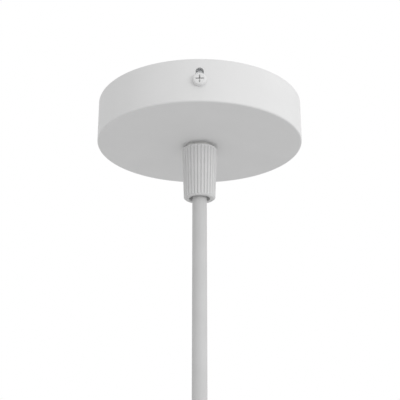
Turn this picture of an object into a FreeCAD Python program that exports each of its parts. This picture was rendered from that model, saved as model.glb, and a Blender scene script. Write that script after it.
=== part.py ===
import FreeCAD, Part
import math
import os
import re

import Sketcher

# A white ceiling rose that hangs from the ceiling plane at z = 0. The side screw that faces the
# viewer is towards -Y, and the terminal block is on the +X side. Sizes are in millimetres.

Vector = FreeCAD.Vector
UP = Vector(0, 0, 1)
DOC = FreeCAD.newDocument("CeilingRose")
SHEET = DOC.addObject("Spreadsheet::Sheet", "Dimensions")
NODES = []

DIMENSIONS = {
    # canopy: a drawn steel cup with a centre hole and a closed slot in each side
    "canopy_radius": 50,
    "canopy_height": 21,
    "canopy_wall": 1,
    "canopy_edge": 1.6,
    "slot_width": 3.6,
    "slot_travel": 4.6,
    # mounting bar: a flat strip with two bent-down ends and a side tab
    "bar_width": 18,
    "bar_thickness": 1.5,
    "bar_bend": 1.2,
    "bar_clearance": 0.4,
    "bar_drop": 14.5,
    "bar_corner": 3,
    "ceiling_slot_spacing": 60,
    "ceiling_slot_length": 14,
    "ceiling_slot_width": 5,
    "cable_hole": 12,
    "tab_reach": 34,
    "tab_width": 26,
    "tab_margin": 1,
    # side screws
    "screw_depth": 10.8,
    "side_screw": 3,
    "side_head": 6,
    "side_head_height": 2.2,
    "side_screw_length": 6,
    "recess_span": 4,
    "recess_width": 0.6,
    "recess_depth": 1.1,
    # hollow threaded stem, its nut and its toothed washer
    "stem_outer": 13,
    "stem_bore": 9,
    "stem_above_nut": 1,
    "stem_engagement": 9,
    "stem_chamfer": 0.5,
    "nut_flats": 17,
    "nut_height": 3,
    "washer_outer": 18,
    "washer_thickness": 0.8,
    "tooth_count": 12,
    "tooth_depth": 1.2,
    "tooth_gap": 1.3,
    # ribbed grip cap and the split collet inside it
    "cap_top": 17,
    "cap_bottom": 15.2,
    "cap_length": 25.5,
    "cap_gap": 1.9,
    "cap_hole": 10,
    "cap_lip": 5,
    "cap_chamfer": 0.6,
    "rib_count": 30,
    "rib_depth": 0.5,
    "rib_groove": 0.9,
    "collet_shoulder": 2,
    "collet_gap": 0.1,
    "collet_slit": 0.8,
    # pendant flex and its three cores
    "flex_outer": 7,
    "flex_above_stem": 1,
    "flex_lowest": 150,
    "core_outer": 2.2,
    "core_circle": 1.3,
    "core_wire": 1.2,
    "core_fan": 3.4,
    "core_straight": 5,
    "core_spread": 8,
    "ferrule_outer": 1.7,
    "ferrule_length": 8,
    # three-pole terminal block
    "block_depth": 16,
    "block_height": 12,
    "pole_pitch": 11,
    "tower_width": 7.4,
    "tower_round": 0.8,
    "web_depth": 9,
    "web_height": 6,
    "tube_depth": 5,
    "tube_outer": 5.2,
    "tube_bore": 3.4,
    "tube_length": 12,
    "clamp_screw": 2.6,
    "clamp_spacing": 6.4,
    "clamp_length": 4.4,
    "clamp_well": 3.4,
    "block_screw": 3,
    "block_screw_head": 5.2,
    "block_screw_head_height": 1.8,
    # earthing
    "earth_place": 15,
    "earth_screw": 4,
    "earth_head": 7.8,
    "earth_head_height": 2.4,
    "earth_washer": 9,
    "tag_thickness": 0.6,
    "stem_tag": 17,
    "bar_tag": 8,
    "barrel_outer": 3.2,
    "barrel_length": 6,
    "barrel_reach": 2,
    "lead_slack": 16,
    # clearances shared by several pieces
    "fit": 0.05,
    "thread_fit": 0.03,
    "slot_screwdriver": 0.6,
}

for row, (alias, amount) in enumerate(DIMENSIONS.items(), start=1):
    SHEET.set(f"A{row}", alias)
    SHEET.set(f"B{row}", str(amount))
    SHEET.setAlias(f"B{row}", alias)
DOC.recompute()

# Places that several pieces share, as formulas on the dimensions. Z is counted up from the ceiling.
FLOOR = "(canopy_wall - canopy_height)"
WALL_INSIDE = "(canopy_radius - canopy_wall)"
TAG_TOP = f"({FLOOR} + tag_thickness)"
NUT_BOTTOM = f"({TAG_TOP} + washer_thickness)"
STEM_TOP = f"({NUT_BOTTOM} + nut_height + stem_above_nut)"
CAP_TOP = "(-canopy_height - cap_gap)"
CAP_BOTTOM = f"({CAP_TOP} - cap_length)"
STEM_BOTTOM = f"({CAP_TOP} - stem_engagement)"
COLLET_TOP = f"({STEM_BOTTOM} - fit)"
CONE_TOP = f"({COLLET_TOP} - collet_shoulder)"
CONE_BOTTOM = f"({CAP_BOTTOM} + cap_lip)"
FLEX_TOP = f"({STEM_TOP} + flex_above_stem)"
BAR_END = f"(sqrt(({WALL_INSIDE} - bar_clearance)^2 - (bar_width / 2)^2))"
BLOCK_MIDDLE = "(tab_reach - tab_margin - block_depth / 2)"
HEAD_SEAT = "(canopy_radius + fit)"
TUBE_HEIGHT = "(-bar_thickness - tube_depth)"
BLOCK_BOTTOM = "(-bar_thickness - block_height)"
WEB_BOTTOM = "(-bar_thickness - web_height)"
TAGS_BOTTOM = "(-bar_thickness - 2 * tag_thickness)"
EARTH_SEAT = f"({TAGS_BOTTOM} - washer_thickness)"


def linked(formula):
    """Points every dimension's name in a formula at its cell."""
    def cell(found):
        word = found.group(0)
        return f"Dimensions.{word}" if word in DIMENSIONS else word
    return re.sub(r"[a-z][a-z_]*", cell, formula)


def value(formula):
    return float(SHEET.evalExpression(linked(formula)))


def bind(thing, **formulas):
    """Binds properties of an object to formulas on the dimensions."""
    for name, formula in formulas.items():
        thing.setExpression(name, linked(formula))
    return thing


def lift(thing, formula, axis="z"):
    thing.setExpression(f"Placement.Base.{axis}", linked(formula))
    return thing


def node(thing, label):
    """Gives a finished sub-part its name and keeps it for the export."""
    thing.Label = label
    NODES.append(thing)
    return thing


def new_body(label):
    return node(DOC.addObject("PartDesign::Body", label), label)


def origin_part(body, role):
    return next(item for item in body.Origin.OriginFeatures if item.Role == role)


def new_sketch(body, name, role, offset=None):
    sketch = body.newObject("Sketcher::SketchObject", f"{body.Name}_{name}")
    sketch.AttachmentSupport = (origin_part(body, role), [""])
    sketch.MapMode = "FlatFace"
    if offset:
        sketch.setExpression("AttachmentOffset.Base.z", linked(offset))
    return sketch


def measure(sketch, formula, *rule):
    """Adds one sized constraint and binds it to its formula."""
    index = sketch.addConstraint(Sketcher.Constraint(*rule, value(formula)))
    sketch.setExpression(f"Constraints[{index}]", linked(formula))


def hold(sketch, geometry, point, x, y):
    """Keeps one point of a sketch at its two distances from the origin."""
    measure(sketch, x, "DistanceX", -1, 1, geometry, point)
    measure(sketch, y, "DistanceY", -1, 1, geometry, point)


def outline(sketch, corners):
    """Draws a closed outline with straight sides through corners given as pairs of formulas."""
    places = [Vector(value(x), value(y), 0) for x, y in corners]
    ends = places[1:] + places[:1]
    sides = sketch.addGeometry([Part.LineSegment(a, b) for a, b in zip(places, ends)], False)
    for side, following in zip(sides, sides[1:] + sides[:1]):
        sketch.addConstraint(Sketcher.Constraint("Coincident", side, 2, following, 1))
    for side, (x, y) in zip(sides, corners):
        hold(sketch, side, 1, x, y)


def circle(sketch, x, y, radius):
    shape = Part.Circle(Vector(value(x), value(y), 0), UP, value(radius))
    index = sketch.addGeometry(shape, False)
    hold(sketch, index, 3, x, y)
    measure(sketch, radius, "Radius", index)


def slot(sketch, x, low, high, radius):
    """Draws a round-ended slot along the sketch's second axis, between its two end centres."""
    middle, bottom, top, size = value(x), value(low), value(high), value(radius)
    upper = Part.ArcOfCircle(Part.Circle(Vector(middle, top, 0), UP, size), 0, math.pi)
    lower = Part.ArcOfCircle(Part.Circle(Vector(middle, bottom, 0), UP, size), math.pi, 2 * math.pi)
    left = Part.LineSegment(Vector(middle - size, top, 0), Vector(middle - size, bottom, 0))
    right = Part.LineSegment(Vector(middle + size, bottom, 0), Vector(middle + size, top, 0))
    loop = sketch.addGeometry([upper, left, lower, right], False)
    for edge, following in zip(loop, loop[1:] + loop[:1]):
        sketch.addConstraint(Sketcher.Constraint("Tangent", edge, 2, following, 1))
    hold(sketch, loop[0], 3, x, high)
    hold(sketch, loop[2], 3, x, low)
    measure(sketch, radius, "Radius", loop[0])
    sketch.addConstraint(Sketcher.Constraint("Equal", loop[0], loop[2]))


def revolve(body, sketch, axis="V_Axis"):
    turned = body.newObject("PartDesign::Revolution", f"{body.Name}_turned")
    turned.Profile = (sketch, [""])
    turned.ReferenceAxis = (sketch, [axis])
    turned.Angle = 360
    DOC.recompute()
    return turned


def pad(body, sketch, length, side="One side", downward=False):
    raised = body.newObject("PartDesign::Pad", f"{sketch.Name}_pad")
    raised.Profile = (sketch, [""])
    raised.SideType = side
    raised.Reversed = downward
    bind(raised, Length=length)
    DOC.recompute()
    return raised


def pocket(body, sketch, depth=None):
    """Cuts a sketch to a depth, or both ways through everything, and makes sure that it cut."""
    before = body.Shape.Volume
    cut = body.newObject("PartDesign::Pocket", f"{sketch.Name}_cut")
    cut.Profile = (sketch, [""])
    if depth:
        bind(cut, Length=depth)
    else:
        cut.Type = "ThroughAll"
        cut.SideType = "Symmetric"
    DOC.recompute()
    if cut.Shape.Volume >= before:
        raise RuntimeError(f"{cut.Name} removes nothing")
    return cut


def round_edges(body, base, kind, size, chosen):
    """Rounds or chamfers the edges of a feature that the test picks out."""
    names = [f"Edge{i}" for i, edge in enumerate(base.Shape.Edges, start=1) if chosen(edge)]
    if not names:
        raise RuntimeError(f"{base.Name} has no such edge")
    feature = body.newObject(f"PartDesign::{kind}", f"{base.Name}_{kind.lower()}")
    feature.Base = (base, names)
    bind(feature, **{"Radius" if kind == "Fillet" else "Size": size})
    DOC.recompute()
    return feature


def near(a, b):
    return abs(a - b) < 0.001


def ring_at(radius, height):
    """A test for the round edge of that radius that lies level at that height."""
    def test(edge):
        curve = edge.Curve
        level = near(edge.BoundBox.ZLength, 0) and near(edge.BoundBox.ZMin, value(height))
        return isinstance(curve, Part.Circle) and near(curve.Radius, value(radius)) and level
    return test


def solid(kind, **sizes):
    """A Part primitive with its sizes bound to formulas."""
    return bind(DOC.addObject(f"Part::{kind}", kind.lower()), **sizes)


def laid_along_x(thing):
    thing.Placement.Rotation = FreeCAD.Rotation(Vector(0, 1, 0), 90)
    return thing


def cylinder(radius, height, x="0", y="0", z="0", along_x=False):
    bar = solid("Cylinder", Radius=radius, Height=height)
    if along_x:
        laid_along_x(bar)
    for axis, formula in zip("xyz", (x, y, z)):
        lift(bar, formula, axis)
    return bar


def block(size_x, size_y, size_z, x, y, z):
    """A box from its three sizes and its lowest corner."""
    box = solid("Box", Length=size_x, Width=size_y, Height=size_z)
    for axis, formula in zip("xyz", (x, y, z)):
        lift(box, formula, axis)
    return box


def joined(*things):
    fused = DOC.addObject("Part::MultiFuse", "fuse")
    fused.Shapes = list(things)
    return fused


def minus(base, *tools):
    cut = DOC.addObject("Part::Cut", "cut")
    cut.Base = base
    cut.Tool = tools[0] if len(tools) == 1 else joined(*tools)
    return cut


def group(things):
    """Keeps like pieces together as separate solids."""
    several = DOC.addObject("Part::Compound", "group")
    several.Links = things
    return several


def make_canopy():
    """Deep-drawn cup: rounded lower edge, punched centre hole, and a slot each side for a screw."""
    body = new_body("canopy")
    section = new_sketch(body, "section", "XZ_Plane")
    hole = "stem_outer / 2 + fit"
    outline(section, [
        (hole, "-canopy_height"),
        ("canopy_radius", "-canopy_height"),
        ("canopy_radius", "0"),
        (WALL_INSIDE, "0"),
        (WALL_INSIDE, FLOOR),
        (hole, FLOOR),
    ])
    cup = revolve(body, section)
    cup = round_edges(body, cup, "Fillet", "canopy_edge", ring_at("canopy_radius", "-canopy_height"))
    inner_round = "max(canopy_edge - canopy_wall; canopy_wall / 2)"
    round_edges(body, cup, "Fillet", inner_round, ring_at(WALL_INSIDE, FLOOR))
    slots = new_sketch(body, "slots", "XZ_Plane")
    slot(slots, "0", "-screw_depth", "slot_travel - screw_depth", "slot_width / 2")
    pocket(body, slots)


def make_mounting_bar():
    """Strip bent down at both ends, with a side tab, ceiling slots and tapped holes."""
    body = new_body("mounting_bar")
    strip = new_sketch(body, "strip", "YZ_Plane")
    inner_end = f"{BAR_END} - bar_thickness"
    outline(strip, [
        (f"-{BAR_END}", "-bar_drop"),
        (f"-{BAR_END}", "0"),
        (BAR_END, "0"),
        (BAR_END, "-bar_drop"),
        (inner_end, "-bar_drop"),
        (inner_end, "-bar_thickness"),
        (f"-({inner_end})", "-bar_thickness"),
        (f"-({inner_end})", "-bar_drop"),
    ])
    pad(body, strip, "bar_width", side="Symmetric")
    tab = new_sketch(body, "tab", "XY_Plane")
    outline(tab, [
        ("0", "-tab_width / 2"),
        ("tab_reach", "-tab_width / 2"),
        ("tab_reach", "tab_width / 2"),
        ("0", "tab_width / 2"),
    ])
    flat = pad(body, tab, "bar_thickness", downward=True)

    def bend_at(place, height):
        def test(edge):
            box = edge.BoundBox
            across = near(box.YLength, 0) and near(box.ZLength, 0)
            return across and near(abs(box.YMin), value(place)) and near(box.ZMin, value(height))
        return test

    flat = round_edges(body, flat, "Fillet", "bar_bend + bar_thickness", bend_at(BAR_END, "0"))
    flat = round_edges(body, flat, "Fillet", "bar_bend", bend_at(inner_end, "-bar_thickness"))

    def foot_corner(edge):
        box = edge.BoundBox
        runs_in_y = near(box.XLength, 0) and near(box.ZLength, 0)
        return runs_in_y and near(box.ZMin, -value("bar_drop"))

    flat = round_edges(body, flat, "Fillet", "bar_corner", foot_corner)

    def tab_corner(edge):
        box = edge.BoundBox
        upright = near(box.XLength, 0) and near(box.YLength, 0)
        return upright and near(box.XMin, value("tab_reach"))

    round_edges(body, flat, "Fillet", "bar_corner", tab_corner)

    holes = new_sketch(body, "holes", "XY_Plane")
    half_run = "(ceiling_slot_length - ceiling_slot_width) / 2"
    for side in ("", "-"):
        middle = f"{side}ceiling_slot_spacing / 2"
        slot(holes, "0", f"{middle} - {half_run}", f"{middle} + {half_run}", "ceiling_slot_width / 2")
        circle(holes, BLOCK_MIDDLE, f"{side}pole_pitch / 2", "block_screw / 2 + thread_fit")
    circle(holes, "0", "0", "cable_hole / 2")
    circle(holes, "0", "-earth_place", "earth_screw / 2 + thread_fit")
    pocket(body, holes)
    tapped = new_sketch(body, "tapped", "XZ_Plane")
    circle(tapped, "0", "-screw_depth", "side_screw / 2 + thread_fit")
    pocket(body, tapped)


def make_side_screw(label, turn):
    """Pan-head screw with a cross recess, modelled towards -Y and then turned to its side."""
    body = new_body(label)
    half = new_sketch(body, "half", "YZ_Plane")
    tip = f"side_screw_length - {HEAD_SEAT}"
    head_top = f"-{HEAD_SEAT} - side_head_height"
    outline(half, [
        (head_top, "0"),
        (head_top, "side_head / 2"),
        (f"-{HEAD_SEAT}", "side_head / 2"),
        (f"-{HEAD_SEAT}", "side_screw / 2"),
        (tip, "side_screw / 2"),
        (tip, "0"),
    ])
    turned = revolve(body, half, "H_Axis")

    def head_rim(edge):
        box = edge.BoundBox
        flat = near(box.YLength, 0) and near(box.YMin, value(head_top))
        return flat and isinstance(edge.Curve, Part.Circle)

    round_edges(body, turned, "Fillet", "side_head_height * 0.6", head_rim)
    recess = new_sketch(body, "recess", "XZ_Plane", offset=f"{HEAD_SEAT} + side_head_height")
    arm, half_width = "recess_span / 2", "recess_width / 2"
    outline(recess, [
        (arm, f"-{half_width}"), (arm, half_width), (half_width, half_width),
        (half_width, arm), (f"-{half_width}", arm), (f"-{half_width}", half_width),
        (f"-{arm}", half_width), (f"-{arm}", f"-{half_width}"), (f"-{half_width}", f"-{half_width}"),
        (f"-{half_width}", f"-{arm}"), (half_width, f"-{arm}"), (half_width, f"-{half_width}"),
    ])
    pocket(body, recess, "recess_depth")
    body.Placement.Rotation = FreeCAD.Rotation(UP, turn)
    lift(body, "-screw_depth")


def make_grip_stem():
    """Hollow threaded stem that carries the grip cap; the fine thread is left plain."""
    body = new_body("grip_stem")
    section = new_sketch(body, "section", "XZ_Plane")
    outline(section, [
        ("stem_bore / 2", STEM_BOTTOM),
        ("stem_outer / 2", STEM_BOTTOM),
        ("stem_outer / 2", STEM_TOP),
        ("stem_bore / 2", STEM_TOP),
    ])
    tube = revolve(body, section)
    ends = [ring_at("stem_outer / 2", STEM_BOTTOM), ring_at("stem_outer / 2", STEM_TOP)]
    round_edges(body, tube, "Chamfer", "stem_chamfer", lambda edge: any(end(edge) for end in ends))


def make_lock_nut():
    """Thin hexagon nut on the stem."""
    hexagon = solid("Prism", Circumradius="nut_flats / 2 / cos(30)", Height="nut_height")
    hexagon.Polygon = 6
    lift(hexagon, NUT_BOTTOM)
    bore = cylinder("stem_outer / 2 + thread_fit", "nut_height", z=NUT_BOTTOM)
    node(minus(hexagon, bore), "lock_nut")


def make_toothed_washer():
    """Flat steel washer with outward teeth, so that the nut can't work loose."""
    body = new_body("toothed_washer")
    ring = new_sketch(body, "ring", "XY_Plane", offset=TAG_TOP)
    circle(ring, "0", "0", "washer_outer / 2")
    circle(ring, "0", "0", "stem_outer / 2 + fit")
    pad(body, ring, "washer_thickness")
    notch = new_sketch(body, "notch", "XY_Plane", offset=NUT_BOTTOM)
    inner, outer = "washer_outer / 2 - tooth_depth", "washer_outer / 2 + tooth_gap"
    outline(notch, [
        (inner, "-tooth_gap / 2"),
        (outer, "-tooth_gap / 2"),
        (outer, "tooth_gap / 2"),
        (inner, "tooth_gap / 2"),
    ])
    gap = pocket(body, notch, "washer_thickness")
    repeat_round(body, gap, "tooth_count")


def repeat_round(body, feature, count):
    """Repeats a cut evenly about the upright axis."""
    pattern = body.newObject("PartDesign::PolarPattern", f"{feature.Name}_round")
    pattern.Originals = [feature]
    pattern.Axis = (origin_part(body, "Z_Axis"), [""])
    pattern.Angle = 360
    bind(pattern, Occurrences=count)
    body.Tip = pattern
    DOC.recompute()


def make_grip_cap():
    """Moulded tapered cap with fine ribs outside, and a bore, a cone and a lower hole inside."""
    body = new_body("grip_cap")
    section = new_sketch(body, "section", "XZ_Plane")
    outline(section, [
        ("stem_outer / 2 + fit", CAP_TOP),
        ("cap_top / 2", CAP_TOP),
        ("cap_bottom / 2", f"{CAP_BOTTOM} + cap_chamfer"),
        ("cap_bottom / 2 - cap_chamfer", CAP_BOTTOM),
        ("cap_hole / 2", CAP_BOTTOM),
        ("cap_hole / 2", CONE_BOTTOM),
        ("stem_outer / 2 + fit", CONE_TOP),
    ])
    before = revolve(body, section).Shape.Volume
    # one V groove follows the taper from above the top face to below the bottom face
    overrun = "rib_groove"
    vee = new_sketch(body, "vee", "XY_Plane", offset=f"{CAP_TOP} + {overrun}")
    outline(vee, [
        ("cap_top / 2 + rib_groove / 4", "-rib_groove * 0.75"),
        ("cap_top / 2 + rib_groove / 4", "rib_groove * 0.75"),
        ("cap_top / 2 - rib_depth", "0"),
    ])
    taper = new_sketch(body, "taper", "XZ_Plane")
    line = Part.LineSegment(
        Vector(value("cap_top / 2"), value(f"{CAP_TOP} + {overrun}"), 0),
        Vector(value("cap_bottom / 2"), value(f"{CAP_BOTTOM} - {overrun}"), 0),
    )
    slant = taper.addGeometry(line, False)
    hold(taper, slant, 1, "cap_top / 2", f"{CAP_TOP} + {overrun}")
    hold(taper, slant, 2, "cap_bottom / 2", f"{CAP_BOTTOM} - {overrun}")
    groove = body.newObject("PartDesign::SubtractivePipe", "grip_cap_groove")
    groove.Profile = (vee, [""])
    groove.Spine = (taper, ["Edge1"])
    DOC.recompute()
    if groove.Shape.Volume >= before:
        raise RuntimeError("the first groove removes nothing")
    repeat_round(body, groove, "rib_count")


def make_grip_collet():
    """Split bush between the stem's end and the cap's cone; it closes on the flex."""
    body = new_body("grip_collet")
    section = new_sketch(body, "section", "XZ_Plane")
    shoulder = "stem_outer / 2 + fit - collet_gap"
    outline(section, [
        ("flex_outer / 2 + fit", COLLET_TOP),
        (shoulder, COLLET_TOP),
        (shoulder, CONE_TOP),
        ("cap_hole / 2 - collet_gap", CONE_BOTTOM),
        ("flex_outer / 2 + fit", CONE_BOTTOM),
    ])
    revolve(body, section)
    slit_depth = f"{CONE_TOP} - {CONE_BOTTOM}"
    for name, across, along in (("slit_x", "stem_outer", "collet_slit"), ("slit_y", "collet_slit", "stem_outer")):
        slit = new_sketch(body, name, "XY_Plane", offset=CONE_TOP)
        outline(slit, [
            (f"-{across} / 2", f"-{along} / 2"),
            (f"{across} / 2", f"-{along} / 2"),
            (f"{across} / 2", f"{along} / 2"),
            (f"-{across} / 2", f"{along} / 2"),
        ])
        pocket(body, slit, slit_depth)


EARTH_POLE = "-pole_pitch"


def pole_places():
    return [EARTH_POLE, "0", "pole_pitch"]


def make_terminal_block():
    """Moulded three-pole strip under the tab: towers over the tubes, webs between them."""
    bottom = BLOCK_BOTTOM
    near_face = f"{BLOCK_MIDDLE} - block_depth / 2"
    towers = []
    for place in pole_places():
        tower = block("block_depth", "tower_width", "block_height",
                      near_face, f"{place} - tower_width / 2", bottom)
        DOC.recompute()
        rounded = DOC.addObject("Part::Fillet", "tower")
        rounded.Base = tower
        radius = value("tower_round")
        lower = [i for i, edge in enumerate(tower.Shape.Edges, start=1)
                 if edge.BoundBox.ZMin < value(bottom) + 0.001]
        rounded.Edges = [(i, radius, radius) for i in lower]
        towers.append(rounded)
    web = block("web_depth", "2 * pole_pitch", "web_height",
                f"{BLOCK_MIDDLE} - web_depth / 2", "-pole_pitch", WEB_BOTTOM)
    cuts = []
    for place in pole_places():
        cuts.append(cylinder("tube_outer / 2 + fit", "block_depth", near_face, place, TUBE_HEIGHT, along_x=True))
        for side in ("-", "+"):
            cuts.append(cylinder("clamp_well / 2", f"{TUBE_HEIGHT} - {bottom}",
                                 f"{BLOCK_MIDDLE} {side} clamp_spacing / 2", place, bottom))
    for side in ("-", ""):
        cuts.append(cylinder("block_screw / 2 + 2 * fit", "web_height",
                             BLOCK_MIDDLE, f"{side}pole_pitch / 2", WEB_BOTTOM))
        cuts.append(cylinder("block_screw_head / 2 + 2 * fit", f"{WEB_BOTTOM} - {bottom}",
                             BLOCK_MIDDLE, f"{side}pole_pitch / 2", bottom))
    node(minus(joined(*towers, web), *cuts), "terminal_block")


def make_terminal_tubes():
    """Brass tubes that join the wires, each with two tapped holes for its clamping screws."""
    tubes = []
    for place in pole_places():
        start = f"{BLOCK_MIDDLE} - tube_length / 2"
        outside = cylinder("tube_outer / 2", "tube_length", start, place, TUBE_HEIGHT, along_x=True)
        inside = cylinder("tube_bore / 2", "tube_length", start, place, TUBE_HEIGHT, along_x=True)
        taps = [cylinder("clamp_screw / 2 + thread_fit", "tube_outer / 2 + fit",
                         f"{BLOCK_MIDDLE} {side} clamp_spacing / 2", place,
                         f"{TUBE_HEIGHT} - tube_outer / 2 - fit") for side in ("-", "+")]
        tubes.append(minus(outside, inside, *taps))
    node(group(tubes), "terminal_tubes")


def make_clamp_screws():
    """Slotted grub screws in the tubes, two for each pole; those of the free entries are backed out."""
    screws = []
    tight = f"{TUBE_HEIGHT} - core_wire / 2 - fit"
    backed_out = f"{TUBE_HEIGHT} - tube_bore / 2 - fit"
    for place in pole_places():
        for side in ("-", "+"):
            x = f"{BLOCK_MIDDLE} {side} clamp_spacing / 2"
            top = tight if side == "-" or place == EARTH_POLE else backed_out
            shank = cylinder("clamp_screw / 2", "clamp_length", x, place, f"{top} - clamp_length")
            groove = block("clamp_screw", "slot_screwdriver", "slot_screwdriver",
                           f"{x} - clamp_screw / 2", f"{place} - slot_screwdriver / 2",
                           f"{top} - clamp_length")
            screws.append(minus(shank, groove))
    node(group(screws), "clamp_screws")


def headed_screw(radius, length, head_radius, head_height, x, y, seat):
    """A screw that points up, with its slotted head below its seat."""
    shank = cylinder(radius, length, x, y, seat)
    head = cylinder(head_radius, head_height, x, y, f"{seat} - {head_height}")
    groove = block(f"2 * {head_radius}", "slot_screwdriver", "slot_screwdriver",
                   f"{x} - {head_radius}", f"{y} - slot_screwdriver / 2", f"{seat} - {head_height}")
    return minus(joined(shank, head), groove)


def make_block_screws():
    """Two screws up through the block's webs into the tab."""
    length = f"(-fit - {WEB_BOTTOM})"
    screws = [headed_screw("block_screw / 2", length, "block_screw_head / 2", "block_screw_head_height",
                           BLOCK_MIDDLE, f"{side}pole_pitch / 2", WEB_BOTTOM) for side in ("-", "")]
    node(group(screws), "block_screws")


def make_earth_screw():
    """Short screw up into the bar that holds the two ring tags under its washer."""
    length = f"(-fit - {EARTH_SEAT})"
    screw = headed_screw("earth_screw / 2", length, "earth_head / 2", "earth_head_height",
                         "0", "-earth_place", EARTH_SEAT)
    node(screw, "earth_screw")
    disc = cylinder("earth_washer / 2", "washer_thickness", y="-earth_place", z=EARTH_SEAT)
    bore = cylinder("earth_screw / 2 + 2 * fit", "washer_thickness", y="-earth_place", z=EARTH_SEAT)
    node(minus(disc, bore), "earth_washer")


def ring_tag(ring, bore, y, bottom, barrel_height, side):
    """Crimp tag: a flat ring, a narrow neck and a barrel that points towards -X or +X."""
    width = "barrel_outer * 0.8"
    neck = f"({ring} / 2 + barrel_reach)"
    start = f"-{neck}" if side < 0 else "0"
    far = f"-{neck} - barrel_length" if side < 0 else neck
    flat = joined(
        cylinder(f"{ring} / 2", "tag_thickness", y=y, z=bottom),
        block(neck, width, "tag_thickness", start, f"{y} - {width} / 2", bottom),
        cylinder("barrel_outer / 2", "barrel_length", far, y, barrel_height, along_x=True),
    )
    hole = cylinder(bore, "tag_thickness", y=y, z=bottom)
    crimp = cylinder("core_outer / 2 + fit", "barrel_length", far, y, barrel_height, along_x=True)
    return minus(flat, hole, crimp)


STEM_BARREL = f"({FLOOR} + barrel_outer / 2)"
FIRST_BARREL = "(-bar_thickness - barrel_outer / 2)"
SECOND_BARREL = "(-bar_thickness - tag_thickness - barrel_outer / 2)"
STEM_TAG_END = "(stem_tag / 2 + barrel_reach)"
BAR_TAG_END = "(bar_tag / 2 + barrel_reach)"


def make_earth_tags():
    """One ring tag lies under the stem's washer, and two are stacked under the bar."""
    node(ring_tag("stem_tag", "stem_outer / 2 + fit", "0", FLOOR, STEM_BARREL, -1), "canopy_earth_tag")
    hole = "earth_screw / 2 + 2 * fit"
    first = ring_tag("bar_tag", hole, "(-earth_place)", "-bar_thickness - tag_thickness", FIRST_BARREL, -1)
    second = ring_tag("bar_tag", hole, "(-earth_place)", TAGS_BOTTOM, SECOND_BARREL, 1)
    node(group([first, second]), "bar_earth_tags")


def unit(vector):
    return Vector(vector).normalize()


def rounded_path(points):
    """Joins straight runs with tangent arcs, each as large as its two runs allow."""
    edges, radii = [], []
    here = points[0]
    for before, corner, after in zip(points, points[1:], points[2:]):
        back, onward = before - corner, after - corner
        half_turn = (math.pi - back.getAngle(onward)) / 2
        reach = 0.45 * min(back.Length, onward.Length)
        radius = reach / math.tan(half_turn)
        start = corner + unit(back) * reach
        end = corner + unit(onward) * reach
        middle = corner + unit(unit(back) + unit(onward)) * (radius / math.cos(half_turn) - radius)
        edges.append(Part.LineSegment(here, start).toShape())
        edges.append(Part.Arc(start, middle, end).toShape())
        radii.append(radius)
        here = end
    edges.append(Part.LineSegment(here, points[-1]).toShape())
    return Part.Wire(edges), radii


def tube(label, points, diameter):
    """A round cord along straight runs and arcs; its volume is compared with its length."""
    places = [Vector(*point) for point in points]
    path, radii = rounded_path(places)
    section = Part.Wire([Part.Circle(places[0], places[1] - places[0], diameter / 2).toShape()])
    swept = path.makePipeShell([section], True, True)
    expected = math.pi * diameter ** 2 / 4 * path.Length
    if abs(swept.Volume - expected) > 0.01 * expected:
        raise RuntimeError(f"{label} has {swept.Volume:.1f} mm3 of {expected:.1f}")
    print(label, "length", round(path.Length, 1), "radii", [round(radius, 1) for radius in radii])
    cord = DOC.addObject("Part::Feature", label)
    cord.Shape = swept.Solids[0] if swept.Solids else swept
    return cord


def make_flex():
    """Round pendant flex, straight down from above the stem."""
    height = f"{FLEX_TOP} + flex_lowest"
    node(cylinder("flex_outer / 2", height, z="-flex_lowest"), "flex_sheath")


def core_start(angle):
    """Where a core leaves the sheath, on the circle of the three cores."""
    radius = value("core_circle")
    return radius * math.cos(math.radians(angle)), radius * math.sin(math.radians(angle))


def make_inner_cores():
    """The flex's cores rise from the sheath and bend over into their poles of the block."""
    top, level, pitch = value(FLEX_TOP), value(TUBE_HEIGHT), value("pole_pitch")
    mouth = value(f"{BLOCK_MIDDLE} - tube_length / 2")
    rise, diameter = level - top, value("core_outer")
    for label, angle, side in (("core_brown", 60, 1), ("core_earth", -60, -1)):
        x, y = core_start(angle)
        across = side * pitch
        node(tube(label, [
            (x, y, top), (x, y, top + 0.56 * rise), (0.17 * mouth, 0.345 * across, level + 0.11 * rise),
            (0.45 * mouth, 0.765 * across, level + 0.22 * rise), (0.705 * mouth, across, level),
            (mouth, across, level),
        ], diameter), label)
    x, y = core_start(180)
    sway = 0.064 * pitch
    node(tube("core_blue", [
        (x, y, top), (x, y, top + 0.7 * rise), (0.085 * mouth, sway, level + 0.31 * rise),
        (0.39 * mouth, -sway, level + 0.3 * rise), (0.66 * mouth, 0, level), (mouth, 0, level),
    ], diameter), "core_blue")


def make_core_tips():
    """Bare copper ends of the cores and of the earth link, held in the tubes by the screws."""
    length = "tube_length / 2 - fit"
    starts = [(f"{BLOCK_MIDDLE} - tube_length / 2", place) for place in pole_places()]
    starts.append((f"{BLOCK_MIDDLE} + fit", EARTH_POLE))
    tips = [cylinder("core_wire / 2", length, x, y, TUBE_HEIGHT, along_x=True) for x, y in starts]
    node(group(tips), "core_tips")


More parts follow.
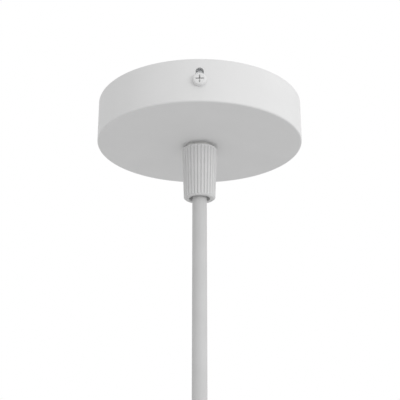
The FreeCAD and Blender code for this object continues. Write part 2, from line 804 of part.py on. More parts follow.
def make_earth_leads():
    """Green-yellow leads to the bar's earth screw, from the canopy's tag and from the block."""
    diameter = value("core_outer")
    low, first, second = value(STEM_BARREL), value(FIRST_BARREL), value(SECOND_BARREL)
    earth_y, level = -value("earth_place"), value(TUBE_HEIGHT)
    half_barrel = value("barrel_length / 2")
    stem_end = -value(STEM_TAG_END) - half_barrel
    bar_end = value(BAR_TAG_END) + half_barrel
    slack, rise = value("lead_slack"), first - low
    node(tube("canopy_earth_lead", [
        (stem_end, 0, low), (stem_end - 0.5 * slack, 0, low),
        (stem_end - 0.9 * slack, 0.2 * earth_y, low + 0.2 * rise),
        (stem_end - slack, 0.57 * earth_y, low + 0.59 * rise),
        (stem_end - 0.65 * slack, 0.93 * earth_y, first - 0.16 * rise),
        (stem_end - 0.15 * slack, earth_y, first), (-bar_end, earth_y, first),
    ], diameter), "canopy_earth_lead")
    outlet = value(f"{BLOCK_MIDDLE} + tube_length / 2")
    pole_y = -value("pole_pitch")
    room = value(WALL_INSIDE) - outlet
    run, rise = outlet - bar_end, second - level
    node(tube("earth_link", [
        (outlet, pole_y, level), (outlet + 0.311 * room, pole_y, level),
        (outlet + 0.467 * room, pole_y - 0.34 * slack, level + 0.1 * rise),
        (outlet + 0.244 * room, pole_y - 0.625 * slack, level + 0.43 * rise),
        (bar_end + 0.86 * run, pole_y - 0.725 * slack, level + 0.71 * rise),
        (bar_end + 0.5 * run, pole_y - 0.525 * slack, second),
        (bar_end + 0.3 * run, earth_y, second), (bar_end, earth_y, second),
    ], diameter), "earth_link")


def make_lower_end():
    """The flex's lower end: three stripped cores that fan out a little, each with a ferrule."""
    bottom, diameter = -value("flex_lowest"), value("core_outer")
    fan, straight, spread = value("core_fan"), value("core_straight"), value("core_spread")
    ferrules = []
    for label, angle in (("lower_core_brown", 60), ("lower_core_blue", 180), ("lower_core_earth", 300)):
        x, y = core_start(angle)
        out_x, out_y = fan * math.cos(math.radians(angle)), fan * math.sin(math.radians(angle))
        end = bottom - 2 * straight - spread
        node(tube(label, [
            (x, y, bottom), (x, y, bottom - straight),
            (out_x, out_y, bottom - straight - spread), (out_x, out_y, end),
        ], diameter), label)
        sleeve = cylinder("ferrule_outer / 2", "ferrule_length", str(out_x), str(out_y), f"{end} - ferrule_length")
        ferrules.append(sleeve)
    node(group(ferrules), "lower_ferrules")


def check_and_export():
    """Writes nothing until every object is sound."""
    DOC.recompute()
    for thing in DOC.Objects:
        if "Invalid" in thing.State or "Error" in thing.State:
            raise RuntimeError(f"{thing.Name} failed: {thing.State}")
    for thing in NODES:
        if thing.Shape.isNull() or not thing.Shape.isValid() or not thing.Shape.Solids:
            raise RuntimeError(f"{thing.Label} has no sound shape")
    os.makedirs("parts", exist_ok=True)
    for thing in NODES:
        thing.Shape.exportStep(f"parts/{thing.Label}.step")
        box = thing.Shape.optimalBoundingBox(False)
        print(f"{thing.Label:20s} solids {len(thing.Shape.Solids)} volume {thing.Shape.Volume:9.1f} "
              f"x {box.XMin:6.2f} {box.XMax:6.2f} y {box.YMin:6.2f} {box.YMax:6.2f} "
              f"z {box.ZMin:7.2f} {box.ZMax:7.2f}")


make_canopy()
make_mounting_bar()
make_side_screw("side_screw_front", 0)
make_side_screw("side_screw_back", 180)
make_grip_stem()
make_lock_nut()
make_toothed_washer()
make_grip_cap()
make_grip_collet()
make_terminal_block()
make_terminal_tubes()
make_clamp_screws()
make_block_screws()
make_earth_screw()
make_earth_tags()
make_flex()
make_inner_cores()
make_core_tips()
make_earth_leads()
make_lower_end()
check_and_export()
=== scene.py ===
import math

import bmesh
import bpy
from mathutils import Matrix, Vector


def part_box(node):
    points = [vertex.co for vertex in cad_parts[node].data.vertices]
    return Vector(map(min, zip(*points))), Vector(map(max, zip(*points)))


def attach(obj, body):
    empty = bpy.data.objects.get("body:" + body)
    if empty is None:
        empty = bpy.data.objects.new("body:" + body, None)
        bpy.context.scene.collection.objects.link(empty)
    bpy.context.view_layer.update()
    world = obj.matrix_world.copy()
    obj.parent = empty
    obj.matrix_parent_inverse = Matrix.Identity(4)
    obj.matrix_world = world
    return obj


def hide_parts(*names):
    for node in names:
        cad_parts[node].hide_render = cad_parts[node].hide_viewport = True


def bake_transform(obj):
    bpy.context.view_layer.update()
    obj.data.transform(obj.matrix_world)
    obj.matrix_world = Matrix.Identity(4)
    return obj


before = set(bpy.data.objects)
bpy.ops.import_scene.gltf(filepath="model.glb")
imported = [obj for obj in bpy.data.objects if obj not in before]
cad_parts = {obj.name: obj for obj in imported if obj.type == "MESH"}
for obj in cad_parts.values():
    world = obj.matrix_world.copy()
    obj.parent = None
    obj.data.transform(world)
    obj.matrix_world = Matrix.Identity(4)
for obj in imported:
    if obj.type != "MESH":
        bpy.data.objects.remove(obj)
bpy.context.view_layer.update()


# Mounting bar: a strip of 1.5 mm steel, punched, bent down at both ends and plated with bright
# zinc. Two screws hold it to the ceiling through its slots, and the rest of the rose hangs on it.
scene = bpy.context.scene
mm = 0.001                       # the scene's unit is the metre
weld = 0.001 * mm
crease = math.radians(35)


def new_finish(name, colour, roughness, metallic=0.0, gloss=0.5):
    """A finish with one colour, to which patterns are then added."""
    material = bpy.data.materials.new(name)
    material.use_nodes = True
    shader = material.node_tree.nodes["Principled BSDF"]
    shader.inputs["Base Color"].default_value = (*colour, 1)
    shader.inputs["Roughness"].default_value = roughness
    shader.inputs["Metallic"].default_value = metallic
    shader.inputs["Specular IOR Level"].default_value = gloss
    return material


def grain(material, size, stretch=(1, 1, 1), detail=3):
    """A noise with lumps of about that size, drawn out along an axis that has a small stretch."""
    nodes, links = material.node_tree.nodes, material.node_tree.links
    place = nodes.new("ShaderNodeTexCoord")
    drawn = nodes.new("ShaderNodeMapping")
    drawn.inputs["Scale"].default_value = stretch
    noise = nodes.new("ShaderNodeTexNoise")
    noise.inputs["Scale"].default_value = 1 / size
    noise.inputs["Detail"].default_value = detail
    links.new(place.outputs["Object"], drawn.inputs["Vector"])
    links.new(drawn.outputs["Vector"], noise.inputs["Vector"])
    return noise.outputs["Fac"]


def tint(material, pattern, darker, lighter):
    """Lets the colour drift with a pattern between two near shades."""
    nodes, links = material.node_tree.nodes, material.node_tree.links
    ramp = nodes.new("ShaderNodeValToRGB")
    low, high = ramp.color_ramp.elements
    low.position, low.color = 0.35, (*darker, 1)
    high.position, high.color = 0.65, (*lighter, 1)
    links.new(pattern, ramp.inputs["Fac"])
    links.new(ramp.outputs["Color"], nodes["Principled BSDF"].inputs["Base Color"])


def dull(material, pattern, smoothest, roughest):
    """Lets the roughness drift with a pattern."""
    nodes, links = material.node_tree.nodes, material.node_tree.links
    spread = nodes.new("ShaderNodeMapRange")
    spread.inputs["From Min"].default_value = 0.3
    spread.inputs["From Max"].default_value = 0.7
    spread.inputs["To Min"].default_value = smoothest
    spread.inputs["To Max"].default_value = roughest
    links.new(pattern, spread.inputs["Value"])
    links.new(spread.outputs["Result"], nodes["Principled BSDF"].inputs["Roughness"])


def raise_by(material, pattern, depth):
    """Raises the surface with a pattern."""
    nodes, links = material.node_tree.nodes, material.node_tree.links
    bump = nodes.new("ShaderNodeBump")
    bump.inputs["Strength"].default_value = 1
    bump.inputs["Distance"].default_value = depth
    links.new(pattern, bump.inputs["Height"])
    links.new(bump.outputs["Normal"], nodes["Principled BSDF"].inputs["Normal"])


def keep_piece(name, shape, material, sharp_above=crease):
    """Makes a finished shape an object that is shaded smooth apart from its creases."""
    mesh = bpy.data.meshes.new(name)
    shape.to_mesh(mesh)
    shape.free()
    mesh.shade_smooth()
    mesh.set_sharp_from_angle(angle=sharp_above)
    mesh.materials.append(material)
    piece = bpy.data.objects.new(name, mesh)
    scene.collection.objects.link(piece)
    return piece


def break_edges(piece, width):
    """Takes the sharpness off a piece's edges and keeps its flat faces shaded flat."""
    edge = piece.modifiers.new("broken edges", "BEVEL")
    edge.width = width * mm
    edge.segments = 2
    edge.limit_method = "ANGLE"
    edge.angle_limit = math.radians(32)
    even = piece.modifiers.new("even shading", "WEIGHTED_NORMAL")
    even.keep_sharp = True
    return piece


def dressed_copy(node, material, edge_width):
    """A copy of a solid with whole flat faces and broken edges, as the made piece has."""
    shape = bmesh.new()
    shape.from_mesh(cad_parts[node].data)
    bmesh.ops.remove_doubles(shape, verts=shape.verts, dist=weld)
    bmesh.ops.dissolve_limit(shape, angle_limit=math.radians(0.5), verts=shape.verts, edges=shape.edges)
    return break_edges(keep_piece(f"{node}_dressed", shape, material), edge_width)


def settle(piece, body, node):
    """Makes a piece ride on its body and stand for its solid, which is hidden."""
    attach(piece, body)
    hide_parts(node)
    return piece


zinc = new_finish("bright_zinc", (0.80, 0.81, 0.82), 0.4, metallic=1)
tint(zinc, grain(zinc, 9 * mm), (0.76, 0.78, 0.79), (0.83, 0.84, 0.85))
dull(zinc, grain(zinc, 1.5 * mm, stretch=(1, 0.15, 1)), 0.36, 0.44)
raise_by(zinc, grain(zinc, 0.5 * mm, stretch=(1, 0.08, 1)), 0.002 * mm)
settle(dressed_copy("mounting_bar", zinc, 0.15), "bar", "mounting_bar")


# Terminal block: three poles moulded in one strip of white polyamide, screwed under the tab from
# below. Each pole holds a turned brass tube with two slotted clamping screws.
polyamide = new_finish("white_polyamide", (0.78, 0.78, 0.74), 0.42)
polyamide_shader = polyamide.node_tree.nodes["Principled BSDF"]
polyamide_shader.inputs["Subsurface Weight"].default_value = 0.15
polyamide_shader.inputs["Subsurface Scale"].default_value = 1.5 * mm
tint(polyamide, grain(polyamide, 6 * mm), (0.75, 0.75, 0.70), (0.80, 0.80, 0.77))
raise_by(polyamide, grain(polyamide, 0.4 * mm), 0.01 * mm)
brass = new_finish("turned_brass", (0.78, 0.58, 0.26), 0.28, metallic=1)
tint(brass, grain(brass, 3 * mm), (0.70, 0.50, 0.20), (0.82, 0.64, 0.32))
dull(brass, grain(brass, 0.3 * mm, stretch=(1, 1, 0.2)), 0.2, 0.4)
settle(dressed_copy("terminal_block", polyamide, 0.12), "bar", "terminal_block")
settle(dressed_copy("terminal_tubes", brass, 0.08), "bar", "terminal_tubes")
for node in ("clamp_screws", "block_screws"):
    settle(dressed_copy(node, zinc, 0.07), "bar", node)


# Earth point: two crimped ring tags of tinned copper, stacked under the bar with a steel washer
# and a slotted brass screw, beside a third tag that lies on the canopy's floor round the stem.
tin = new_finish("tin_plate", (0.75, 0.75, 0.73), 0.35, metallic=1)
tint(tin, grain(tin, 2 * mm), (0.66, 0.66, 0.63), (0.80, 0.80, 0.79))
dull(tin, grain(tin, 0.5 * mm), 0.26, 0.46)
settle(dressed_copy("bar_earth_tags", tin, 0.08), "bar", "bar_earth_tags")
settle(dressed_copy("earth_washer", zinc, 0.1), "bar", "earth_washer")
settle(dressed_copy("earth_screw", brass, 0.12), "bar", "earth_screw")
settle(dressed_copy("canopy_earth_tag", tin, 0.08), "canopy", "canopy_earth_tag")


# Canopy: a steel cup, deep drawn, with a punched centre hole and a closed slot in each side, and
# coated all over with fine-textured white powder. It is pushed up to the ceiling over the bar.
def solid_box(node):
    """The lowest and the highest corner of a solid, in millimetres."""
    return [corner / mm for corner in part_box(node)]


def closed_outline(corners):
    """A wire through corners given in millimetres as radius, height and rounding."""
    shape = bmesh.new()
    spots = [shape.verts.new((radius * mm, 0, height * mm)) for radius, height, rounding in corners]
    for spot, following in zip(spots, spots[1:] + spots[:1]):
        shape.edges.new((spot, following))
    for spot, (radius, height, rounding) in zip(spots, corners):
        if rounding:
            bmesh.ops.bevel(shape, geom=[spot], offset=rounding * mm, offset_type="OFFSET",
                            affect="VERTICES", segments=5, profile=0.5, material=-1)
    return shape


def face_outward(shape):
    """Turns every face of a closed shape outward, once its doubles are merged."""
    bmesh.ops.remove_doubles(shape, verts=shape.verts, dist=weld)
    bmesh.ops.recalc_face_normals(shape, faces=shape.faces)
    if shape.calc_volume(signed=True) < 0:
        bmesh.ops.reverse_faces(shape, faces=shape.faces)
    return shape


def turned(corners, steps=96):
    """A closed outline carried once round the upright axis, which it may touch."""
    shape = closed_outline(corners)
    on_axis = [edge for edge in shape.edges if max(abs(vert.co.x) for vert in edge.verts) < weld]
    bmesh.ops.delete(shape, geom=on_axis, context="EDGES")
    bmesh.ops.spin(shape, geom=shape.verts[:] + shape.edges[:], cent=(0, 0, 0), axis=(0, 0, 1),
                   angle=2 * math.pi, steps=steps, use_merge=True)
    return face_outward(shape)


def shaped_by(piece, how, *tools):
    """Cuts, joins or trims a piece with other pieces, which are used up."""
    for tool in tools:
        step = piece.modifiers.new(how, "BOOLEAN")
        step.operation = how
        step.solver = "EXACT"
        step.object = tool
    shape = bmesh.new()
    shape.from_object(piece, bpy.context.evaluated_depsgraph_get())
    bmesh.ops.remove_doubles(shape, verts=shape.verts, dist=weld)
    bmesh.ops.dissolve_degenerate(shape, dist=weld, edges=shape.edges)
    piece.modifiers.clear()
    shape.to_mesh(piece.data)
    shape.free()
    piece.data.set_sharp_from_angle(angle=crease)
    for tool in tools:
        bpy.data.objects.remove(tool)
    return piece


def slot_punch(width, low, high, length):
    """A round-ended bar along Y that punches a slot, centred on X."""
    shape = closed_outline([
        (-width / 2, low, width / 2), (width / 2, low, width / 2),
        (width / 2, high, width / 2), (-width / 2, high, width / 2),
    ])
    bmesh.ops.remove_doubles(shape, verts=shape.verts, dist=weld)
    bmesh.ops.contextual_create(shape, geom=shape.edges[:])
    moved = bmesh.ops.extrude_face_region(shape, geom=shape.faces[:])
    bmesh.ops.translate(shape, vec=(0, length * mm, 0),
                        verts=[item for item in moved["geom"] if isinstance(item, bmesh.types.BMVert)])
    bmesh.ops.translate(shape, vec=(0, -length / 2 * mm, 0), verts=shape.verts)
    return keep_piece("punch", face_outward(shape), powder_coat)


powder_coat = new_finish("white_powder_coat", (0.80, 0.80, 0.80), 0.6, gloss=0.18)
tint(powder_coat, grain(powder_coat, 30 * mm), (0.79, 0.79, 0.79), (0.81, 0.81, 0.81))
dull(powder_coat, grain(powder_coat, 2.5 * mm), 0.56, 0.64)
raise_by(powder_coat, grain(powder_coat, 0.7 * mm, detail=2), 0.006 * mm)
canopy_low, canopy_high = solid_box("canopy")
canopy_radius, underside = canopy_high.x, canopy_low.z
canopy_wall = 1
canopy_inside, canopy_floor = canopy_radius - canopy_wall, underside + canopy_wall
centre_hole = 6.55
hole_edge, drawn_edge, inner_edge, rim_edge = 0.2, 0.8, 0.6, 0.3
canopy = keep_piece("canopy_shell", turned([
    (centre_hole, underside, hole_edge), (canopy_radius, underside, drawn_edge),
    (canopy_radius, 0, rim_edge), (canopy_inside, 0, rim_edge),
    (canopy_inside, canopy_floor, inner_edge), (centre_hole, canopy_floor, hole_edge),
], steps=256), powder_coat)
screw_height, slot_width, slot_travel = -10.8, 3.6, 4.6
slot_low = screw_height - slot_width / 2
slot_high = screw_height + slot_travel + slot_width / 2
shaped_by(canopy, "DIFFERENCE", slot_punch(slot_width, slot_low, slot_high, 2.4 * canopy_radius))
break_edges(canopy, 0.15)
settle(canopy, "canopy", "canopy")


# Grip stem: a hollow M13 threaded stem of nickel-plated brass through the canopy's centre hole,
# held by a thin hexagon nut with a toothed steel washer under it.
def threaded(radius, pitch, low, high, steps=48):
    """A rod with an outside thread, cut to length between two heights."""
    shape = bmesh.new()
    root = radius - 0.6 * pitch
    turns = math.ceil((high - low) / pitch) + 2
    # One turn of the thread in outline, each corner with its height in pitches.
    one_turn = [(root, -1.15), (radius, -0.75), (radius, -0.65), (root, -0.25), (root, -0.15)]
    spots = [shape.verts.new((out * mm, 0, (low + up * pitch) * mm)) for out, up in one_turn]
    sides = [shape.edges.new(pair) for pair in zip(spots, spots[1:])]
    bmesh.ops.spin(shape, geom=spots + sides, cent=(0, 0, 0), axis=(0, 0, 1), angle=2 * math.pi * turns,
                   steps=steps * turns, dvec=(0, 0, pitch * mm / steps), use_merge=False)
    bmesh.ops.remove_doubles(shape, verts=shape.verts, dist=weld)
    for height, away in ((low, -1), (high, 1)):
        cut = bmesh.ops.bisect_plane(shape, geom=shape.verts[:] + shape.edges[:] + shape.faces[:], dist=weld,
                                     plane_co=(0, 0, height * mm), plane_no=(0, 0, away), clear_outer=True)
        bmesh.ops.edgeloop_fill(shape, edges=[
            item for item in cut["geom_cut"] if isinstance(item, bmesh.types.BMEdge)])
    return face_outward(shape)


nickel = new_finish("nickel_plate", (0.83, 0.83, 0.82), 0.45, metallic=1)
tint(nickel, grain(nickel, 4 * mm), (0.80, 0.80, 0.79), (0.86, 0.86, 0.85))
dull(nickel, grain(nickel, 0.8 * mm), 0.40, 0.50)
stem_low, stem_high = solid_box("grip_stem")
stem_radius, stem_bore, stem_pitch = stem_high.x, 4.5, 1
bore_low, bore_high = stem_low.z - 1, stem_high.z + 1
stem = keep_piece("threaded_stem", threaded(stem_radius, stem_pitch, stem_low.z, stem_high.z), nickel)
shaped_by(stem, "DIFFERENCE", keep_piece("bore", turned([
    (0, bore_low, 0), (stem_bore, bore_low, 0), (stem_bore, bore_high, 0), (0, bore_high, 0),
]), nickel))
settle(stem, "canopy", "grip_stem")

nut_low, nut_high = solid_box("lock_nut")
half_flats = nut_high.y
half_corners = half_flats / math.cos(math.pi / 6)
hexagon = bmesh.new()
bmesh.ops.create_cone(hexagon, cap_ends=True, segments=6, radius1=half_corners * mm,
                      radius2=half_corners * mm, depth=(nut_high.z - nut_low.z) * mm,
                      matrix=Matrix.Translation((0, 0, (nut_low.z + nut_high.z) / 2 * mm)))
nut = keep_piece("hexagon_nut", hexagon, nickel)

# The nut is faced and its corners are turned down by a round shape that is a little wider.
nut_bore, faced_radius, past_corners = stem_radius + 0.03, half_flats + 0.5, half_flats + 1.7
past_face, corner_drop = 0.1, 0.6
turning = keep_piece("turning", turned([
    (nut_bore, nut_low.z - past_face, 0), (faced_radius, nut_low.z - past_face, 0),
    (past_corners, nut_low.z + corner_drop, 0), (past_corners, nut_high.z - corner_drop, 0),
    (faced_radius, nut_high.z + past_face, 0), (nut_bore, nut_high.z + past_face, 0),
]), nickel)
shaped_by(nut, "INTERSECT", turning)
break_edges(nut, 0.12)
settle(nut, "canopy", "lock_nut")
settle(dressed_copy("toothed_washer", zinc, 0.06), "canopy", "toothed_washer")


# Pendant flex: three insulated copper cores in one round sheath of smooth white PVC, 7 mm thick.
# It hangs straight, held by its weight and by the grip, and its lower end is stripped for a lamp
# holder. Above the stem the cores part and bend over to their poles of the block.
def smooth_line(name, points, diameter):
    """A round cord along one smooth curve, drawn by points in metres."""
    line = bpy.data.curves.new(name, "CURVE")
    line.dimensions = "3D"
    line.bevel_depth = diameter / 2
    line.bevel_resolution = 10
    line.resolution_u = 12
    line.use_fill_caps = True
    route = line.splines.new("NURBS")
    route.points.add(len(points) - 1)
    for spot, place in zip(route.points, points):
        spot.co = (*place, 1)
    route.order_u = 3
    route.use_endpoint_u = True
    cord = bpy.data.objects.new(name, line)
    scene.collection.objects.link(cord)
    return cord


def insulated_wire(name, points, diameter, material):
    """A cord made into a mesh, with its own lengthwise map, so that it can be striped."""
    cord = smooth_line(name, points, diameter)
    scene_now = bpy.context.evaluated_depsgraph_get()
    mesh = bpy.data.meshes.new_from_object(cord.evaluated_get(scene_now))
    bpy.data.objects.remove(cord)
    mesh.shade_smooth()
    mesh.set_sharp_from_angle(angle=crease)
    mesh.materials.append(material)
    wire = bpy.data.objects.new(name, mesh)
    scene.collection.objects.link(wire)
    return wire


sheath_pvc = new_finish("white_pvc_sheath", (0.61, 0.61, 0.61), 0.55, gloss=0.3)
tint(sheath_pvc, grain(sheath_pvc, 14 * mm), (0.60, 0.60, 0.60), (0.62, 0.62, 0.62))
raise_by(sheath_pvc, grain(sheath_pvc, 0.5 * mm, stretch=(1, 1, 0.2)), 0.012 * mm)
flex_top, flex_lowest = -0.0136, -0.150
flex_length, flex_diameter = flex_top - flex_lowest, 0.007
flex = smooth_line("pendant_flex", [
    (0, 0, flex_top), (0, 0, -0.058), (0, 0, -0.104), (0, 0, flex_lowest),
], flex_diameter)
flex.data.materials.append(sheath_pvc)
settle(flex, "canopy", "flex_sheath")

core_diameter = 0.0022
brown_pvc = new_finish("brown_pvc", (0.13, 0.05, 0.025), 0.38)
tint(brown_pvc, grain(brown_pvc, 5 * mm), (0.115, 0.043, 0.021), (0.145, 0.058, 0.03))
blue_pvc = new_finish("blue_pvc", (0.03, 0.13, 0.42), 0.38)
tint(blue_pvc, grain(blue_pvc, 5 * mm), (0.027, 0.115, 0.39), (0.035, 0.145, 0.45))

# The earth core is half green and half yellow, and the two wind once round it from end to end.
green, yellow = (0.06, 0.30, 0.06), (0.78, 0.60, 0.03)
earth_pvc = new_finish("green_and_yellow_pvc", green, 0.38)
nodes, links = earth_pvc.node_tree.nodes, earth_pvc.node_tree.links
core_map = nodes.new("ShaderNodeUVMap")
core_map.uv_map = "UVMap"
twist = nodes.new("ShaderNodeVectorMath")
twist.operation = "DOT_PRODUCT"
twist.inputs[1].default_value = (1, 1, 0)
stripes = nodes.new("ShaderNodeTexWave")
stripes.wave_profile = "SIN"
stripes.inputs["Scale"].default_value = 2 * math.pi / 20
stripe_edge = nodes.new("ShaderNodeValToRGB")
green_end, yellow_end = stripe_edge.color_ramp.elements
green_end.position, green_end.color = 0.48, (*green, 1)
yellow_end.position, yellow_end.color = 0.52, (*yellow, 1)
links.new(core_map.outputs["UV"], twist.inputs[0])
links.new(twist.outputs["Value"], stripes.inputs["Vector"])
links.new(stripes.outputs["Fac"], stripe_edge.inputs["Fac"])
links.new(stripe_edge.outputs["Color"], nodes["Principled BSDF"].inputs["Base Color"])
for pvc in (brown_pvc, blue_pvc, earth_pvc):
    raise_by(pvc, grain(pvc, 0.4 * mm), 0.004 * mm)

# Route of each core from the sheath's end to its tube, where the bar carries it.
inner_cores = {
    "brown": (brown_pvc, [
        (0.00065, 0.001126, -0.0136), (0.00065, 0.001126, -0.00962), (0.00323, 0.0038, -0.00572),
        (0.00855, 0.00842, -0.00494), (0.0134, 0.011, -0.0065), (0.019, 0.011, -0.0065),
    ]),
    "blue": (blue_pvc, [
        (-0.0013, 0, -0.0136), (-0.0013, 0, -0.00863), (0.00162, 0.0007, -0.0043),
        (0.00741, -0.0007, -0.00437), (0.01254, 0, -0.0065), (0.019, 0, -0.0065),
    ]),
    "earth": (earth_pvc, [
        (0.00065, -0.001126, -0.0136), (0.00065, -0.001126, -0.00962), (0.00323, -0.0038, -0.00572),
        (0.00855, -0.00842, -0.00494), (0.0134, -0.011, -0.0065), (0.019, -0.011, -0.0065),
    ]),
}
for colour, (material, points) in inner_cores.items():
    core = insulated_wire(f"{colour}_core_inside", points, core_diameter, material)
    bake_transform(core)
    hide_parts(f"core_{colour}")

# Earth leads: one from the canopy's tag up to the bar, long enough for the canopy to be lowered,
# and a short link from the bar's tag to the earth pole.
canopy_lead = insulated_wire("canopy_lead", [
    (-0.0135, 0, -0.0184), (-0.0215, 0, -0.0184), (-0.0279, -0.003, -0.01534), (-0.0295, -0.00855, -0.00937),
    (-0.0239, -0.01395, -0.00555), (-0.0159, -0.015, -0.0031), (-0.009, -0.015, -0.0031),
], core_diameter, earth_pvc)
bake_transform(canopy_lead)
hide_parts("canopy_earth_lead")
link_lead = insulated_wire("link_lead", [
    (0.031, -0.011, -0.0065), (0.0366, -0.011, -0.0065), (0.0394, -0.01644, -0.00622),
    (0.0354, -0.021, -0.0053), (0.02792, -0.0226, -0.00451), (0.020, -0.0194, -0.0037),
    (0.0156, -0.015, -0.0037), (0.009, -0.015, -0.0037),
], core_diameter, earth_pvc)
settle(link_lead, "bar", "earth_link")
copper = new_finish("bare_copper", (0.80, 0.42, 0.26), 0.3, metallic=1)
tint(copper, grain(copper, 1 * mm, stretch=(0.1, 1, 1)), (0.70, 0.34, 0.20), (0.85, 0.48, 0.32))
raise_by(copper, grain(copper, 0.25 * mm, stretch=(0.05, 1, 1)), 0.03 * mm)
settle(dressed_copy("core_tips", copper, 0.05), "bar", "core_tips")

# Lower end: the cores fan out a little below the cut sheath, and each carries a tinned ferrule.
core_circle, core_fan = 0.0013, 0.0034
ferrule_low, ferrule_high, ferrule_radius, ferrule_mouth = -176, -168, 0.85, 1.0
ferrules = bmesh.new()
for colour, angle in (("brown", 60), ("blue", 180), ("earth", 300)):
    across, along = math.cos(math.radians(angle)), math.sin(math.radians(angle))
    core = insulated_wire(f"{colour}_core_below", [
        (core_circle * across, core_circle * along, flex_lowest),
        (core_circle * across, core_circle * along, -0.155),
        (core_fan * across, core_fan * along, -0.163),
        (core_fan * across, core_fan * along, -0.168),
    ], core_diameter, inner_cores[colour][0])
    settle(core, "canopy", f"lower_core_{colour}")
    ferrule = turned([
        (0, ferrule_low + 0.1, 0), (0.6, ferrule_low + 0.1, 0), (0.65, ferrule_low, 0),
        (ferrule_radius, ferrule_low, 0.1), (ferrule_radius, ferrule_high - 0.6, 0),
        (ferrule_mouth, ferrule_high, 0), (0, ferrule_high, 0),
    ], steps=40)
    bmesh.ops.translate(ferrule, verts=ferrule.verts, vec=(core_fan * across, core_fan * along, 0))
    ferrule_mesh = bpy.data.meshes.new("ferrule")
    ferrule.to_mesh(ferrule_mesh)
    ferrule.free()
    ferrules.from_mesh(ferrule_mesh)
    bpy.data.meshes.remove(ferrule_mesh)
settle(keep_piece("wire_ferrules", ferrules, tin), "canopy", "lower_ferrules")


# Grip collet: a split bush of natural polyamide between the stem's end and the cap's cone. As the
# cap is screwed up, the cone closes its four fingers on the flex.
settle(dressed_copy("grip_collet", polyamide, 0.1), "collet", "grip_collet")


# Grip cap: a tapered sleeve moulded in matt white plastic, with thirty fine ribs for the fingers.
# It screws on the stem from below and hides it.
rib_count, steps_per_rib, groove_depth, first_groove = 30, 12, 0.6, math.radians(-2)
cap_low, cap_high = (corner.z for corner in solid_box("grip_cap"))
thread_radius, mouth_radius = 6.55, 5.0
cone_low, cone_high = -43.4, -33.95

# Rings of the cap from one end of its outline to the other: radius, height and share of the grooves.
plain_rim = [
    (thread_radius, cap_high, 0), (8.35, cap_high, 0), (8.46, cap_high - 0.04, 0),
    (8.5, cap_high - 0.15, 0), (8.49, cap_high - 0.4, 0), (8.47, cap_high - 0.9, 0.8),
]
ribbed_side = [
    (8.45, cap_high - 1.3, 1), (8.2, cap_high - 8.5, 1), (7.9, cap_low + 8.8, 1), (7.61, cap_low + 0.7, 1),
]
lower_bevel = [
    (7.57, cap_low + 0.54, 0.95), (7.4, cap_low + 0.4, 0.75), (7.15, cap_low + 0.2, 0.4),
    (6.95, cap_low + 0.05, 0.1), (6.75, cap_low, 0),
]
mouth_and_bore = [
    (mouth_radius + 0.2, cap_low, 0), (mouth_radius + 0.06, cap_low + 0.06, 0),
    (mouth_radius, cap_low + 0.2, 0), (mouth_radius, cone_low, 0), (thread_radius, cone_high, 0),
    (thread_radius, cap_high, 0),
]
cap_levels = plain_rim + ribbed_side + lower_bevel + mouth_and_bore


def to_level(verts, radius, height, grooved):
    """Moves a ring of the cap to its level, pressed in along the grooves."""
    for vert in verts:
        angle = math.atan2(vert.co.y, vert.co.x)
        dip = max(0, math.cos((angle - first_groove) * rib_count)) ** 1.3
        out = (radius - groove_depth * grooved * dip) * mm
        vert.co = (out * math.cos(angle), out * math.sin(angle), height * mm)


cap_shape = bmesh.new()
ring = bmesh.ops.create_circle(cap_shape, segments=rib_count * steps_per_rib, radius=1)["verts"]
to_level(ring, *cap_levels[0])
for level in cap_levels[1:]:
    edges = list({edge for vert in ring for edge in vert.link_edges if edge.other_vert(vert) in ring})
    grown = bmesh.ops.extrude_edge_only(cap_shape, edges=edges)
    ring = [item for item in grown["geom"] if isinstance(item, bmesh.types.BMVert)]
    to_level(ring, *level)
matt_plastic = new_finish("matt_white_plastic", (0.72, 0.72, 0.72), 0.6, gloss=0.25)
tint(matt_plastic, grain(matt_plastic, 8 * mm), (0.71, 0.71, 0.71), (0.73, 0.73, 0.73))
dull(matt_plastic, grain(matt_plastic, 3 * mm), 0.56, 0.64)
cap = keep_piece("ribbed_cap", face_outward(cap_shape), matt_plastic, sharp_above=math.radians(50))
settle(cap, "cap", "grip_cap")


# Side screws: white-painted M3 pan-head screws with a cross recess. Each passes through a slot of
# the canopy into the bar's tapped foot; loosened, they let the canopy down by the slot's length.
recess_span, recess_width, recess_floor, recess_top = 4.2, 0.6, 0.7, 2.5


def recess_arm(turn):
    """One arm of the cross, a bar that narrows with depth as the driver's tip does."""
    shape = bmesh.new()
    bmesh.ops.create_cube(shape, size=1, matrix=Matrix.Diagonal((
        recess_span * mm, recess_width * mm, (recess_top - recess_floor) * mm, 1)))
    tip = [vert for vert in shape.verts if vert.co.z < 0]
    bmesh.ops.scale(shape, verts=tip, vec=(0.6, 0.8, 1))
    bmesh.ops.translate(shape, verts=shape.verts, vec=(0, 0, (recess_floor + recess_top) / 2 * mm))
    bmesh.ops.rotate(shape, verts=shape.verts, cent=(0, 0, 0), matrix=Matrix.Rotation(turn, 3, "Z"))
    return keep_piece("punch", shape, powder_coat)


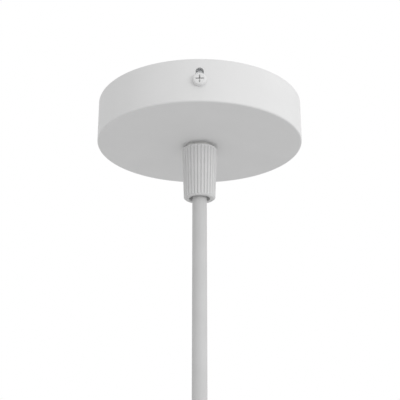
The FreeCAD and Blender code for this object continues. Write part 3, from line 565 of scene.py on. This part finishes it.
# Each screw is made upright, with its head's seat at height 0, and is then laid in its place.
head_radius, head_height, shank_radius, shank_pitch, shank_length = 3.0, 2.2, 1.5, 0.5, 6
head_seat = canopy_radius + 0.05
for name, turn in (("front", 0), ("back", math.pi)):
    screw = keep_piece(f"side_screw_{name}_turned", turned([
        (0, 0, 0), (head_radius, 0, 0.15), (head_radius, 1.4, 0.45), (2.6, 2.08, 0.35),
        (0, head_height, 0),
    ], steps=64), powder_coat)
    shank = keep_piece("shank", threaded(
        shank_radius, shank_pitch, -shank_length, 0.3, steps=32), powder_coat)
    shaped_by(screw, "UNION", shank)
    shaped_by(screw, "DIFFERENCE", recess_arm(0), recess_arm(math.pi / 2))
    screw.data.transform(Matrix.Rotation(math.pi / 2, 4, "X"))
    screw.data.transform(Matrix.Translation((0, -head_seat * mm, screw_height * mm)))
    screw.data.transform(Matrix.Rotation(turn, 4, "Z"))
    settle(screw, f"screw_{name}", f"side_screw_{name}")


# Studio: a wide round pale floor well below the flex, a white room round it, and one broad lamp
# that stands in front to the right. The camera looks up at the rose from in front.
floor_height, floor_radius = -0.90, 6.8
floor_shape = bmesh.new()
bmesh.ops.create_circle(floor_shape, cap_ends=True, segments=180, radius=floor_radius,
                        matrix=Matrix.Translation((0, 0, floor_height)))
lit_grey, seen_white = (0.70, 0.70, 0.70), (0.92, 0.92, 0.92)
floor_white = new_finish("pale_floor", lit_grey, 0.9)
nodes, links = floor_white.node_tree.nodes, floor_white.node_tree.links
path = nodes.new("ShaderNodeLightPath")
pale = nodes.new("ShaderNodeMix")
pale.data_type = "RGBA"
pale.inputs["A"].default_value = (*lit_grey, 1)
pale.inputs["B"].default_value = (*seen_white, 1)
links.new(path.outputs["Is Camera Ray"], pale.inputs["Factor"])
links.new(pale.outputs["Result"], nodes["Principled BSDF"].inputs["Base Color"])
keep_piece("floor", floor_shape, floor_white)

# The room lights the rose softly, a little more from the right, and is plain white where it is seen.
room = bpy.data.worlds.new("white_room")
scene.world = room
room.use_nodes = True
nodes, links = room.node_tree.nodes, room.node_tree.links
soft_light = nodes["Background"]
toward = nodes.new("ShaderNodeTexCoord")
sides = nodes.new("ShaderNodeSeparateXYZ")
brighter = nodes.new("ShaderNodeMapRange")
brighter.inputs["From Min"].default_value = -1
brighter.inputs["To Min"].default_value = 0.68
brighter.inputs["To Max"].default_value = 1.02
links.new(toward.outputs["Generated"], sides.inputs["Vector"])
links.new(sides.outputs["X"], brighter.inputs["Value"])
links.new(brighter.outputs["Result"], soft_light.inputs["Strength"])
white = nodes.new("ShaderNodeBackground")
white.inputs["Strength"].default_value = 1
for background in (soft_light, white):
    background.inputs["Color"].default_value = (1, 1, 1, 1)
path = nodes.new("ShaderNodeLightPath")
mirrored = nodes.new("ShaderNodeMath")
mirrored.operation = "MAXIMUM"
shown = nodes.new("ShaderNodeMath")
shown.operation = "MAXIMUM"
choice = nodes.new("ShaderNodeMixShader")
links.new(path.outputs["Is Glossy Ray"], mirrored.inputs[0])
links.new(path.outputs["Is Transmission Ray"], mirrored.inputs[1])
links.new(mirrored.outputs["Value"], shown.inputs[0])
links.new(path.outputs["Is Camera Ray"], shown.inputs[1])
links.new(shown.outputs["Value"], choice.inputs["Fac"])
links.new(soft_light.outputs["Background"], choice.inputs[1])
links.new(white.outputs["Background"], choice.inputs[2])
links.new(choice.outputs["Shader"], nodes["World Output"].inputs["Surface"])

lamp = bpy.data.lights.new("broad_lamp", "AREA")
lamp.shape = "RECTANGLE"
lamp.size, lamp.size_y = 0.5, 0.4
lamp.energy = 2.0
lamp_side, lamp_lift, lamp_distance = math.radians(42), math.radians(-2), 1.0
lamp_holder = bpy.data.objects.new("broad_lamp", lamp)
lamp_holder.location = (
    lamp_distance * math.cos(lamp_lift) * math.sin(lamp_side),
    -lamp_distance * math.cos(lamp_lift) * math.cos(lamp_side),
    lamp_distance * math.sin(lamp_lift),
)
lamp_holder.rotation_euler = (math.pi / 2 - lamp_lift, 0, lamp_side)
scene.collection.objects.link(lamp_holder)

view = bpy.data.cameras.new("view")
view.sensor_width = 36
view.lens = 75.91
view.shift_x = 0.001
view.clip_start = 0.01
viewer = bpy.data.objects.new("view", view)
viewer.location = (0, -0.3821, -0.1855)
viewer.rotation_euler = (math.pi / 2 + math.radians(19.675), 0, 0)
scene.collection.objects.link(viewer)
scene.camera = viewer
scene.view_settings.view_transform = "Standard"
